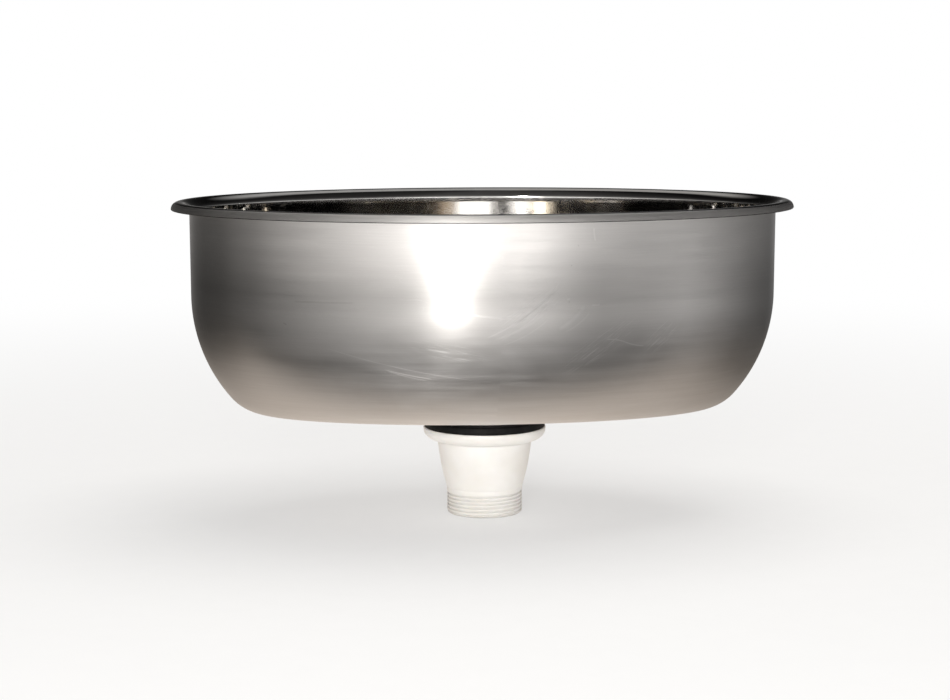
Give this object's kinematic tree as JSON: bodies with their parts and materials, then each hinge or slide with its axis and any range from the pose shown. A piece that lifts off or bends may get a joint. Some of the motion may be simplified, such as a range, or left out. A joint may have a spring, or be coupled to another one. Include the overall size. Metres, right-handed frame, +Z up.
{
  "type": "pedicure foot bath",
  "caption": "Oval drop-in stainless-steel foot basin with a rolled rim, a lift-out basket strainer plug and a white plastic waste body with a threaded outlet.",
  "frame": {"origin": "on the drain axis, at the lower end of the threaded outlet", "axes": "+Z up along the drain axis, +X along the basin's length, +Y across its width"},
  "size_m": [0.39, 0.254, 0.1989],
  "materials": {
    "basin_steel": "satin horizontal grain outside, mirror polish inside",
    "polished_steel": "polished stainless steel",
    "black_rubber": "matt",
    "white_plastic": "moulded polypropylene, satin",
    "grey_plastic": "moulded, satin",
    "brass": "machined"
  },
  "bodies": {
    "basin": {"bowl": "basin_steel", "strainer_gasket": "black_rubber", "strainer_cup": "polished_steel", "body_gasket": "black_rubber", "waste_body": "white_plastic", "hub_insert": "brass", "screw_washer": "white_plastic", "clamp_screw": "polished_steel"},
    "plug": {"plug_seal": "black_rubber", "plug_carrier": "grey_plastic", "basket": "polished_steel", "plug_stem": "polished_steel", "plug_knob": "polished_steel"}
  },
  "joints": [
    {"name": "plug_lift", "type": "slide", "parent": "basin", "child": "plug", "axis": [0, 0, 1], "range_m": [0, 0.16]}
  ]
}
